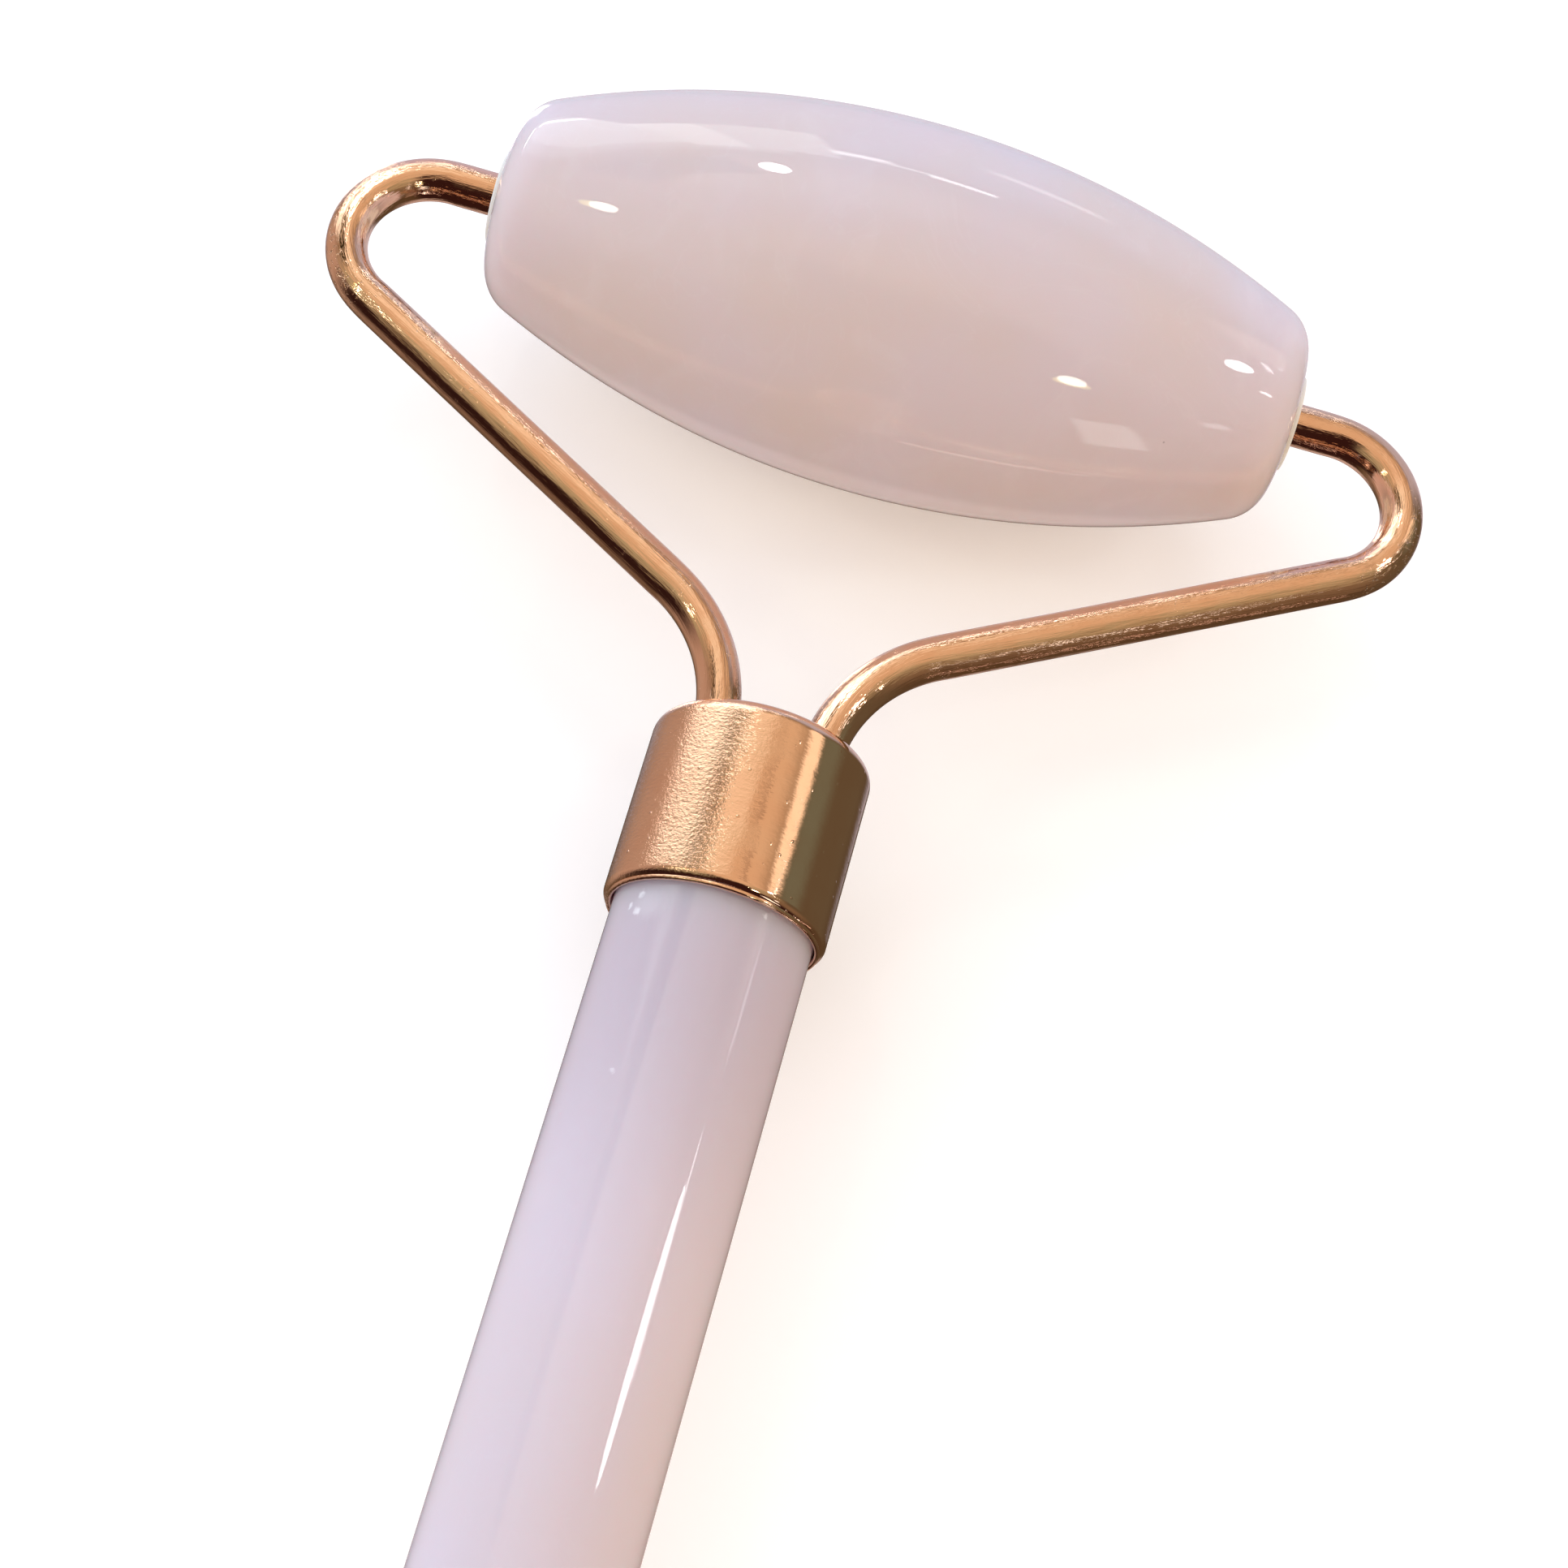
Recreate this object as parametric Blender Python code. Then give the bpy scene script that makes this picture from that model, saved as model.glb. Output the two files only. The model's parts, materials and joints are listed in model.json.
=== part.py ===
"""Stone face roller, lying flat: handle along Y with the large roller at +Y, roller axes along X, +Z up.

The origin is on the resting surface, under the middle of the whole tool. Lengths are in metres.
Turned pieces are drawn as (radius, height) outlines about local Z and then laid over.
"""
import math

import bmesh
import bpy
from mathutils import Vector

MM = 0.001

# Whole tool
OVERALL_LENGTH = 145.0 * MM
FIT_GAP = 0.3 * MM             # glue line round the hidden pieces

# Wire and ferrules, the same at both ends
WIRE_RADIUS = 1.12 * MM
WIRE_SIDES_RESOLUTION = 4      # twelve sides
PIN_TIP_TAPER = 0.85
LEG_OFFSET = 2.65 * MM         # half the spacing of the fork's legs inside the ferrule
LEG_ABOVE_U = 1.4 * MM         # straight run between the U-bend and the outward bend
LEG_BEND_RISE = 0.20 * MM      # the outward bend starts this far above the ferrule's top
FERRULE_RADIUS = 5.40 * MM
FERRULE_INNER_RADIUS = 4.95 * MM
FERRULE_HEIGHT = 9.75 * MM
FERRULE_TOP_THICKNESS = 0.6 * MM
FERRULE_TOP_ROUND = 0.8 * MM
FERRULE_INNER_ROUND = 0.5 * MM
LEG_HOLE_CLEARANCE = 0.2 * MM

# Handle
HANDLE_RADIUS = 4.83 * MM
SPIGOT_RADIUS = 4.4 * MM
SPIGOT_DEPTH = 3.8 * MM        # how far the handle goes into a ferrule
SHOULDER_DEPTH = 1.2 * MM      # full radius continues this far into the ferrule
SPIGOT_CHAMFER = 0.4 * MM

# Bushes
BUSH_BORE_RADIUS = 1.2 * MM
BUSH_BARREL_RADIUS = 1.92 * MM
BUSH_FLANGE_RADIUS = 2.5 * MM
BUSH_FLANGE_THICKNESS = 0.3 * MM
BUSH_SEAT_GAP = 0.05 * MM      # between the stone's end and the flange
STONE_BORE_RADIUS = BUSH_BARREL_RADIUS + FIT_GAP

# Each end: the stone barrel, the fork that holds it and the bushes in it
LARGE = {
    "name": "large",
    "stone_length": 42.0 * MM,
    "stone_radius": 9.71 * MM,
    "stone_end_radius": 4.96 * MM,      # where the barrel's arc would meet the end plane
    "stone_edge_round": 2.43 * MM,
    "bore_depth": 8.0 * MM,
    "bush_depth": 5.0 * MM,
    "pin_depth": 4.5 * MM,
    "fork_half_span": 27.94 * MM,       # to the wire's centre line
    "shoulder_radius": 4.33 * MM,
    "leg_bend_radius": 8.33 * MM,
    "arm_angle": math.radians(29.9),
    "stone_segments": 40,
    "arc_steps": 12,
}
SMALL = {
    "name": "small",
    "stone_length": 20.0 * MM,
    "stone_radius": 6.75 * MM,
    "stone_end_radius": 4.6 * MM,
    "stone_edge_round": 1.7 * MM,
    "bore_depth": 6.0 * MM,
    "bush_depth": 4.0 * MM,
    "pin_depth": 3.6 * MM,
    "fork_half_span": 15.6 * MM,
    "shoulder_radius": 3.6 * MM,
    "leg_bend_radius": 6.5 * MM,
    "arm_angle": math.radians(36.0),
    "stone_segments": 32,
    "arc_steps": 8,
}

ROUND_SEGMENTS = 32
BUSH_SEGMENTS = 20
ROUND_STEPS = 3                # facets in a rounded edge
SHOULDER_STEPS = 11
LEG_BEND_STEPS = 5
U_BEND_STEPS = 8
MERGE_DISTANCE = 0.001 * MM

FACET_DROP = math.cos(math.pi / LARGE["stone_segments"])
AXIS_HEIGHT = LARGE["stone_radius"] * FACET_DROP   # the large stone stands on one of its facets


# ---------------------------------------------------------------- scene and materials

def clear_scene():
    for item in list(bpy.data.objects):
        bpy.data.objects.remove(item, do_unlink=True)


def make_material(name, colour, roughness, metallic=0.0):
    material = bpy.data.materials.new(name)
    material.use_nodes = True
    shader = material.node_tree.nodes["Principled BSDF"]
    shader.inputs["Base Color"].default_value = (*colour, 1.0)
    shader.inputs["Roughness"].default_value = roughness
    shader.inputs["Metallic"].default_value = metallic
    return material


def stone_material(name):
    return make_material(name, (0.70, 0.61, 0.66), 0.12)


def plated_material(name, roughness):
    return make_material(name, (0.80, 0.47, 0.28), roughness, 1.0)


def nylon_material(name):
    return make_material(name, (0.86, 0.84, 0.78), 0.45)


def epoxy_material(name):
    return make_material(name, (0.75, 0.68, 0.50), 0.30)


# ---------------------------------------------------------------- mesh helpers

def arc(centre_x, centre_y, radius, start, end, steps):
    """Points of an arc, both ends included; angles in radians, counter-clockwise from +X."""
    angles = [start + (end - start) * i / steps for i in range(steps + 1)]
    return [(centre_x + radius * math.cos(a), centre_y + radius * math.sin(a)) for a in angles]


def add_object(name, mesh, material, smooth_angle=35.0):
    mesh.shade_smooth()
    mesh.set_sharp_from_angle(angle=math.radians(smooth_angle))
    mesh.materials.append(material)
    item = bpy.data.objects.new(name, mesh)
    bpy.context.collection.objects.link(item)
    return item


def turned_mesh(name, outline, segments, closed):
    """Spin a (radius, height) outline about Z, with the middle of a facet at angle zero."""
    half_step = math.pi / segments
    bm = bmesh.new()
    verts = [bm.verts.new((r * math.cos(half_step), r * math.sin(half_step), z)) for r, z in outline]
    pairs = list(zip(verts, verts[1:]))
    if closed:
        pairs.append((verts[-1], verts[0]))
    edges = [bm.edges.new(pair) for pair in pairs]
    bmesh.ops.spin(bm, geom=verts + edges, axis=(0, 0, 1), cent=(0, 0, 0), angle=2 * math.pi,
                   steps=segments, use_merge=True)
    bmesh.ops.remove_doubles(bm, verts=bm.verts, dist=MERGE_DISTANCE)
    bmesh.ops.recalc_face_normals(bm, faces=bm.faces)
    mesh = bpy.data.meshes.new(name)
    bm.to_mesh(mesh)
    bm.free()
    return mesh


def wire_mesh(name, points, radius, tip_taper=1.0):
    """A round wire along flat points, with filled ends."""
    curve = bpy.data.curves.new(name + "_path", "CURVE")
    curve.dimensions = "3D"
    curve.bevel_depth = radius
    curve.bevel_resolution = WIRE_SIDES_RESOLUTION
    curve.use_fill_caps = True
    spline = curve.splines.new("POLY")
    spline.points.add(len(points) - 1)
    for slot, (x, y) in zip(spline.points, points):
        slot.co = (x, y, 0.0, 1.0)
    spline.points[0].radius = tip_taper
    spline.points[-1].radius = tip_taper
    holder = bpy.data.objects.new(name + "_path", curve)
    bpy.context.collection.objects.link(holder)
    bpy.context.view_layer.update()
    depsgraph = bpy.context.evaluated_depsgraph_get()
    mesh = bpy.data.meshes.new_from_object(holder.evaluated_get(depsgraph))
    mesh.name = name
    mesh.materials.clear()
    bpy.data.objects.remove(holder, do_unlink=True)
    weld(mesh)
    return mesh


def weld(mesh):
    """Join each end cap to its tube and make every face point out."""
    bm = bmesh.new()
    bm.from_mesh(mesh)
    bmesh.ops.remove_doubles(bm, verts=bm.verts, dist=MERGE_DISTANCE)
    bmesh.ops.recalc_face_normals(bm, faces=bm.faces)
    bm.to_mesh(mesh)
    bm.free()


def cut_by(target, cutter):
    cutter.hide_render = True
    cutter.display_type = "WIRE"
    cut = target.modifiers.new("cut", "BOOLEAN")
    cut.operation = "DIFFERENCE"
    cut.solver = "EXACT"
    cut.object = cutter


def axis_empty(name, location, rotation):
    empty = bpy.data.objects.new(name, None)
    empty.location = location
    empty.rotation_euler = rotation
    bpy.context.collection.objects.link(empty)
    return empty


# ---------------------------------------------------------------- outlines

def barrel_outline(end):
    """One stone barrel with a blind hole in each end: (radius, height) from hole to hole."""
    half = end["stone_length"] / 2
    rise = end["stone_radius"] - end["stone_end_radius"]
    big = (half ** 2 + rise ** 2) / (2 * rise)
    centre_r = end["stone_radius"] - big
    edge = end["stone_edge_round"]
    edge_z = half - edge
    edge_r = centre_r + math.sqrt((big - edge) ** 2 - edge_z ** 2)
    sweep = math.asin(edge_z / (big - edge))
    belly = arc(centre_r, 0.0, big, -sweep, sweep, end["arc_steps"])
    low_edge = arc(edge_r, -edge_z, edge, -math.pi / 2, -sweep, ROUND_STEPS)
    high_edge = arc(edge_r, edge_z, edge, sweep, math.pi / 2, ROUND_STEPS)
    hole_z = half - end["bore_depth"]
    low_hole = [(0.0, -hole_z), (STONE_BORE_RADIUS, -hole_z), (STONE_BORE_RADIUS, -half)]
    high_hole = [(STONE_BORE_RADIUS, half), (STONE_BORE_RADIUS, hole_z), (0.0, hole_z)]
    return low_hole + low_edge[:-1] + belly + high_edge[1:] + high_hole


def bush_outline(end):
    """A flanged bush; height 0 is the stone's end face, the barrel goes down into the stone."""
    flange_low = BUSH_SEAT_GAP
    flange_high = BUSH_SEAT_GAP + BUSH_FLANGE_THICKNESS
    depth = -end["bush_depth"]
    return [
        (BUSH_BORE_RADIUS, depth), (BUSH_BARREL_RADIUS, depth), (BUSH_BARREL_RADIUS, flange_low),
        (BUSH_FLANGE_RADIUS, flange_low), (BUSH_FLANGE_RADIUS, flange_high),
        (BUSH_BORE_RADIUS, flange_high),
    ]


def ferrule_outline():
    """A drawn cup, rim at height 0: down the inside from the ceiling, round the rim and up the outside."""
    roll = FERRULE_RADIUS - FERRULE_INNER_RADIUS
    rim = arc(FERRULE_INNER_RADIUS, roll, roll, -math.pi / 2, 0.0, ROUND_STEPS)
    top_z = FERRULE_HEIGHT - FERRULE_TOP_ROUND
    top_r = FERRULE_RADIUS - FERRULE_TOP_ROUND
    shoulder = arc(top_r, top_z, FERRULE_TOP_ROUND, 0.0, math.pi / 2, ROUND_STEPS + 1)
    ceiling = FERRULE_HEIGHT - FERRULE_TOP_THICKNESS
    inner_r = FERRULE_INNER_RADIUS - FERRULE_INNER_ROUND
    inner_z = ceiling - FERRULE_INNER_ROUND
    inner = arc(inner_r, inner_z, FERRULE_INNER_ROUND, math.pi / 2, 0.0, ROUND_STEPS - 1)
    return [(0.0, ceiling)] + inner + rim + shoulder + [(0.0, FERRULE_HEIGHT)]


def plug_outline():
    """Epoxy between the handle's spigot and the ferrule's ceiling."""
    low = SPIGOT_DEPTH + FIT_GAP
    high = FERRULE_HEIGHT - FERRULE_TOP_THICKNESS - FIT_GAP
    radius = FERRULE_INNER_RADIUS - FIT_GAP
    neck = radius - FERRULE_INNER_ROUND
    return [(0.0, low), (radius, low), (radius, high - FERRULE_INNER_ROUND), (neck, high), (0.0, high)]


def handle_outline(body_length):
    """A rod with a ground spigot at each end; height 0 is its middle."""
    shoulder = body_length / 2 + SHOULDER_DEPTH
    tip = body_length / 2 + SPIGOT_DEPTH
    half = [
        (HANDLE_RADIUS, shoulder), (SPIGOT_RADIUS, shoulder), (SPIGOT_RADIUS, tip - SPIGOT_CHAMFER),
        (SPIGOT_RADIUS - SPIGOT_CHAMFER, tip), (0.0, tip),
    ]
    mirrored = [(r, -z) for r, z in reversed(half)]
    return mirrored + half


# ---------------------------------------------------------------- the fork's centre line

def leg_bend_end(end):
    """Where the outward bend ends, measured from where it starts."""
    turn = math.pi / 2 - end["arm_angle"]
    radius = end["leg_bend_radius"]
    return LEG_OFFSET + radius * (1 - math.cos(turn)), radius * math.sin(turn)


def shoulder_start(end):
    """Where the arm meets the shoulder bend, measured from the roller's axis."""
    radius = end["shoulder_radius"]
    x = end["fork_half_span"] - radius + radius * math.sin(end["arm_angle"])
    y = -radius - radius * math.cos(end["arm_angle"])
    return x, y


def leg_bend_level(end):
    """Y of the start of the outward bend, so that the straight arm joins both bends."""
    bend_x, bend_rise = leg_bend_end(end)
    arm_x, arm_y = shoulder_start(end)
    return arm_y - (arm_x - bend_x) * math.tan(end["arm_angle"]) - bend_rise


def ferrule_top_level(end):
    """Y of the ferrule's top face, measured from the roller's axis."""
    return leg_bend_level(end) - LEG_BEND_RISE


def fork_points(end):
    """Centre line of the whole wire, pin tip to pin tip, with the roller's axis at Y = 0."""
    radius = end["shoulder_radius"]
    arm = end["arm_angle"]
    pin_tip = (end["stone_length"] / 2 - end["pin_depth"], 0.0)
    shoulder = arc(end["fork_half_span"] - radius, -radius, radius, math.pi / 2, arm - math.pi / 2,
                   SHOULDER_STEPS)
    level = leg_bend_level(end)
    bend = end["leg_bend_radius"]
    leg_bend = arc(LEG_OFFSET + bend, level, bend, math.pi / 2 + arm, math.pi, LEG_BEND_STEPS)
    right = [pin_tip] + shoulder + leg_bend
    u_bend = arc(0.0, level - LEG_ABOVE_U, LEG_OFFSET, 0.0, -math.pi, U_BEND_STEPS)
    left = [(-x, y) for x, y in reversed(right)]
    return right + u_bend + left


# ---------------------------------------------------------------- one end of the tool

ALONG_HANDLE = (-math.pi / 2, 0.0, 0.0)            # local Z to world +Y
AGAINST_HANDLE = (-math.pi / 2, 0.0, math.pi)      # local Z to world -Y
ALONG_ROLLER = (0.0, math.pi / 2, 0.0)             # local Z to world +X
AGAINST_ROLLER = (0.0, -math.pi / 2, 0.0)          # local Z to world -X


def add_roller(end, axis_y):
    """The stone and its two bushes, parented to an empty on their joint's axis."""
    name = end["name"] + "_roller"
    spin = axis_empty(name + "_axis", (0.0, axis_y, AXIS_HEIGHT), (0.0, 0.0, 0.0))
    mesh = turned_mesh(name + "_stone", barrel_outline(end), end["stone_segments"], closed=False)
    stone = add_object(name + "_stone", mesh, stone_material(name + "_stone"))
    stone.rotation_euler = ALONG_ROLLER
    stone.parent = spin
    half = end["stone_length"] / 2
    for side, x, turn in (("left", -half, AGAINST_ROLLER), ("right", half, ALONG_ROLLER)):
        bush_name = name + "_bush_" + side
        bush_mesh = turned_mesh(bush_name, bush_outline(end), BUSH_SEGMENTS, closed=True)
        bush = add_object(bush_name, bush_mesh, nylon_material(bush_name))
        bush.location = (x, 0.0, 0.0)
        bush.rotation_euler = turn
        bush.parent = spin


def add_fork(end, location, turn):
    name = end["name"] + "_fork"
    points = fork_points(end)
    fork = add_object(name, wire_mesh(name, points, WIRE_RADIUS, PIN_TIP_TAPER),
                      plated_material(name, 0.12))
    fork.location = location
    fork.rotation_euler = turn


def add_wire_cutter(end, label, clearance, location, turn):
    """The fork's own path, fatter, to open the holes that it passes through."""
    name = end["name"] + label
    mesh = wire_mesh(name, fork_points(end), WIRE_RADIUS + clearance)
    cutter = bpy.data.objects.new(name, mesh)
    bpy.context.collection.objects.link(cutter)
    cutter.location = location
    cutter.rotation_euler = turn
    return cutter


def add_ferrule(end, rim, direction, fork_place):
    """The cap and the epoxy in it; fork_place is the fork's location and rotation."""
    name = end["name"] + "_ferrule"
    cap = add_object(name, turned_mesh(name, ferrule_outline(), ROUND_SEGMENTS, closed=False),
                     plated_material(name, 0.28))
    cap.location = rim
    cap.rotation_euler = direction
    cut_by(cap, add_wire_cutter(end, "_leg_hole_cutter", LEG_HOLE_CLEARANCE, *fork_place))
    plug_name = name + "_adhesive"
    plug = add_object(plug_name, turned_mesh(plug_name, plug_outline(), ROUND_SEGMENTS, closed=False),
                      epoxy_material(plug_name))
    plug.location = rim
    plug.rotation_euler = direction
    cut_by(plug, add_wire_cutter(end, "_epoxy_cutter", FIT_GAP, *fork_place))


def add_handle(middle_y, body_length):
    mesh = turned_mesh("handle", handle_outline(body_length), ROUND_SEGMENTS, closed=False)
    handle = add_object("handle", mesh, stone_material("handle"))
    handle.location = (0.0, middle_y, AXIS_HEIGHT)
    handle.rotation_euler = ALONG_HANDLE


def build():
    clear_scene()
    large_y = OVERALL_LENGTH / 2 - LARGE["stone_radius"] * FACET_DROP
    small_y = -OVERALL_LENGTH / 2 + SMALL["stone_radius"] * math.cos(math.pi / SMALL["stone_segments"])
    large_rim = large_y + ferrule_top_level(LARGE) - FERRULE_HEIGHT
    small_rim = small_y - ferrule_top_level(SMALL) + FERRULE_HEIGHT

    large_place = ((0.0, large_y, AXIS_HEIGHT), (0.0, 0.0, 0.0))
    small_place = ((0.0, small_y, AXIS_HEIGHT), (0.0, 0.0, math.pi))
    add_roller(LARGE, large_y)
    add_fork(LARGE, *large_place)
    add_ferrule(LARGE, (0.0, large_rim, AXIS_HEIGHT), ALONG_HANDLE, large_place)
    add_handle((large_rim + small_rim) / 2, large_rim - small_rim)
    add_ferrule(SMALL, (0.0, small_rim, AXIS_HEIGHT), AGAINST_HANDLE, small_place)
    add_fork(SMALL, *small_place)
    add_roller(SMALL, small_y)


build()
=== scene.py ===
"""The stone face roller: fine meshes for every piece, their materials, a floor, lights and a camera.

Everything is in metres in the CAD frame: +Y along the handle towards the large roller, +X along the roller
axes, +Z up. Each fine piece is turned or swept again at high resolution where its CAD node lies, and its
length, radius and place are read from that node or from the joints.
"""

import json
import math

import bmesh
import bpy
from mathutils import Euler, Matrix, Vector, noise


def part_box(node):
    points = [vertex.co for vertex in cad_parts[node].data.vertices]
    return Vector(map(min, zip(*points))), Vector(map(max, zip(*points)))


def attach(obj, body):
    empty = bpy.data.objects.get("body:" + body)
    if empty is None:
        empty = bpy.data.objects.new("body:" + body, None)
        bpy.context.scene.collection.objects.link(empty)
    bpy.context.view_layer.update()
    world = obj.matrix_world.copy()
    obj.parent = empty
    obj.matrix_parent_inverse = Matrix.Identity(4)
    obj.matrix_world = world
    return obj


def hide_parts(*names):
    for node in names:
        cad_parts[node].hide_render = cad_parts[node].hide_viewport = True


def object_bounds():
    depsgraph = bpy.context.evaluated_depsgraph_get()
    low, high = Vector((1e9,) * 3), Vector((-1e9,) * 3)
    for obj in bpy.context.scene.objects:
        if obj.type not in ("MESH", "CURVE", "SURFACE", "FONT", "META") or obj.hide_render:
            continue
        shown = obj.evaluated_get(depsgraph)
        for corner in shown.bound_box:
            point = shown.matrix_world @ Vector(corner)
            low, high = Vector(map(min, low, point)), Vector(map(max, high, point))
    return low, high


MM = 0.001
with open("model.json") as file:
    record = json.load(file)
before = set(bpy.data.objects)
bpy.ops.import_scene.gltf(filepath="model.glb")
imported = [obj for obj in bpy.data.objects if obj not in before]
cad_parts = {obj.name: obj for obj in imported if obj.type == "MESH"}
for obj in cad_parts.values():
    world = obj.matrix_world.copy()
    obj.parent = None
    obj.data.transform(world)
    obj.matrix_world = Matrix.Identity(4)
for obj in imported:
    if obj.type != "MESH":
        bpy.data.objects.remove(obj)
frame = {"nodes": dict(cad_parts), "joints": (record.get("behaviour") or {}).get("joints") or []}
cad_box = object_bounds()

# ---------------------------------------------------------------- sizes shared by both ends

WIRE_RADIUS = 1.12 * MM
LEG_OFFSET = 2.65 * MM         # of each straight leg from the tool's middle plane
LEG_ABOVE_U = 1.4 * MM         # length of straight leg between the outward bend and the hidden U-bend
LEG_BEND_RISE = 0.20 * MM      # the outward bend starts this far above the ferrule's top
PIN_TIP_CHAMFER = 0.25 * MM
FERRULE_RADIUS = 5.40 * MM
FERRULE_INNER_RADIUS = 4.93 * MM
FERRULE_TOP_THICKNESS = 0.6 * MM
FERRULE_TOP_ROUND = 0.8 * MM
CEILING_CHAMFER = 0.6 * MM     # inside the ferrule, between its wall and its ceiling
RIM_ROLL = 0.42 * MM           # radius of the rolled rim's outer turn
RIM_BEAD = 0.13 * MM           # radius of the bead that closes it
LEG_FILLET = 0.42 * MM         # plated run-out round each leg on the ferrule's top
HANDLE_RADIUS = 4.83 * MM
SPIGOT_RADIUS = 4.4 * MM
SHOULDER_DEPTH = 1.2 * MM      # from a ferrule's rim to the handle's shoulder inside it
SPIGOT_CHAMFER = 0.4 * MM
BUSH_BORE_RADIUS = 1.2 * MM
BUSH_BARREL_RADIUS = 1.92 * MM
BUSH_FLANGE_RADIUS = 2.5 * MM
BUSH_FLANGE_THICKNESS = 0.3 * MM
BUSH_EDGE = 0.1 * MM
STONE_BORE_RADIUS = 2.22 * MM
HOLE_CHAMFER = 0.12 * MM

ENDS = {
    "large": {
        "stone_end_radius": 4.96 * MM, "stone_edge_round": 2.43 * MM, "bore_depth": 8.0 * MM,
        "shoulder_radius": 4.33 * MM, "leg_bend_radius": 8.33 * MM, "arm_angle": math.radians(29.9),
        "half_span": 27.94 * MM, "pin_depth": 4.5 * MM, "towards": 1,
    },
    "small": {
        "stone_end_radius": 4.6 * MM, "stone_edge_round": 1.7 * MM, "bore_depth": 6.0 * MM,
        "shoulder_radius": 3.6 * MM, "leg_bend_radius": 6.5 * MM, "arm_angle": math.radians(36.0),
        "half_span": 15.6 * MM, "pin_depth": 3.6 * MM, "towards": -1,
    },
}
for joint in frame["joints"]:
    ENDS[joint["child"].split("_")[0]]["axis"] = Vector(joint["pos_m"])

X_AXIS = Vector((1, 0, 0))
Y_AXIS = Vector((0, 1, 0))


# ---------------------------------------------------------------- mesh helpers

def arc(centre_x, centre_y, radius, start, end, steps):
    angles = [start + (end - start) * i / steps for i in range(steps + 1)]
    return [(centre_x + radius * math.cos(a), centre_y + radius * math.sin(a)) for a in angles]


def line(start, end, steps):
    """Points from start towards end, without the last one."""
    return [(start[0] + (end[0] - start[0]) * i / steps, start[1] + (end[1] - start[1]) * i / steps)
            for i in range(steps)]


def piece_from_rings(name, rings, closed_along=False, caps=True, sharp_angle=40.0):
    """Skins a list of equal rings of points. A ring may shrink to a pole of one point at either end."""
    mesh = bpy.data.meshes.new(name)
    verts, index = [], []
    for ring in rings:
        index.append(list(range(len(verts), len(verts) + len(ring))))
        verts.extend(ring)
    faces = []
    pairs = list(zip(index, index[1:]))
    if closed_along:
        pairs.append((index[-1], index[0]))
    for low, high in pairs:
        count = max(len(low), len(high))
        for i in range(count):
            j = (i + 1) % count
            if len(low) == 1:
                faces.append((low[0], high[j], high[i]))
            elif len(high) == 1:
                faces.append((low[i], low[j], high[0]))
            else:
                faces.append((low[i], low[j], high[j], high[i]))
    if caps and not closed_along:
        if len(index[0]) > 1:
            faces.append(tuple(reversed(index[0])))
        if len(index[-1]) > 1:
            faces.append(tuple(index[-1]))
    mesh.from_pydata([tuple(v) for v in verts], [], faces)
    bm = bmesh.new()
    bm.from_mesh(mesh)
    bmesh.ops.recalc_face_normals(bm, faces=bm.faces)
    bm.to_mesh(mesh)
    bm.free()
    mesh.shade_smooth()
    mesh.set_sharp_from_angle(angle=math.radians(sharp_angle))
    item = bpy.data.objects.new(name, mesh)
    bpy.context.scene.collection.objects.link(item)
    return item


def turned(name, outline, origin, direction, segments, closed=False, wobble=None):
    """Turns (radius, height) points about a line from origin; wobble(point) gives a radial change."""
    side = Vector((0, 0, 1)).cross(direction).normalized()
    up = direction.cross(side)
    rings = []
    for radius, height in outline:
        centre = origin + direction * height
        if radius < 1e-7:
            rings.append([centre])
            continue
        ring = []
        for i in range(segments):
            angle = 2 * math.pi * i / segments
            out = side * math.cos(angle) + up * math.sin(angle)
            grown = radius + (wobble(centre + out * radius) if wobble else 0.0)
            ring.append(centre + out * grown)
        rings.append(ring)
    return piece_from_rings(name, rings, closed_along=closed, caps=False)


def add_vectors(item, name, vectors):
    attribute = item.data.attributes.new(name, "FLOAT_VECTOR", "POINT")
    attribute.data.foreach_set("vector", [value for vector in vectors for value in vector])


def add_values(item, name, values):
    attribute = item.data.attributes.new(name, "FLOAT", "POINT")
    attribute.data.foreach_set("value", values)


# ---------------------------------------------------------------- stones

STONE_SEGMENTS = 160
POLISH_WAVE = 0.010 * MM       # how far a hand-polished stone strays from its true profile
POLISH_WAVE_LENGTH = 9.0 * MM
FLAT_TURN = math.radians(21.0)     # from straight up, towards +X
FLAT_SPAN = math.radians(12.0)
FLAT_DEPTH = 0.085 * MM


def polish_wave(point):
    return POLISH_WAVE * noise.noise(point / POLISH_WAVE_LENGTH)


def barrel_outline(end, half, radius):
    """Belly, rounded corner, flat face and blind hole of one half, and the same mirrored for the other."""
    rise = radius - end["stone_end_radius"]
    big = (half ** 2 + rise ** 2) / (2 * rise)
    centre_r = radius - big
    edge = end["stone_edge_round"]
    edge_z = half - edge
    edge_r = centre_r + math.sqrt((big - edge) ** 2 - edge_z ** 2)
    sweep = math.asin(edge_z / (big - edge))
    belly = arc(centre_r, 0.0, big, 0.0, sweep, 40)
    corner = arc(edge_r, edge_z, edge, sweep, math.pi / 2, 14)
    mouth = STONE_BORE_RADIUS + HOLE_CHAMFER
    hole_z = half - end["bore_depth"]
    face = line((edge_r, half), (mouth, half), 4)
    hole = [(mouth, half), (STONE_BORE_RADIUS, half - HOLE_CHAMFER),
            (STONE_BORE_RADIUS, hole_z), (0.0, hole_z)]
    upper = belly + corner[1:-1] + face + hole
    lower = [(r, -z) for r, z in reversed(upper[1:])]
    return lower + upper


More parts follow.
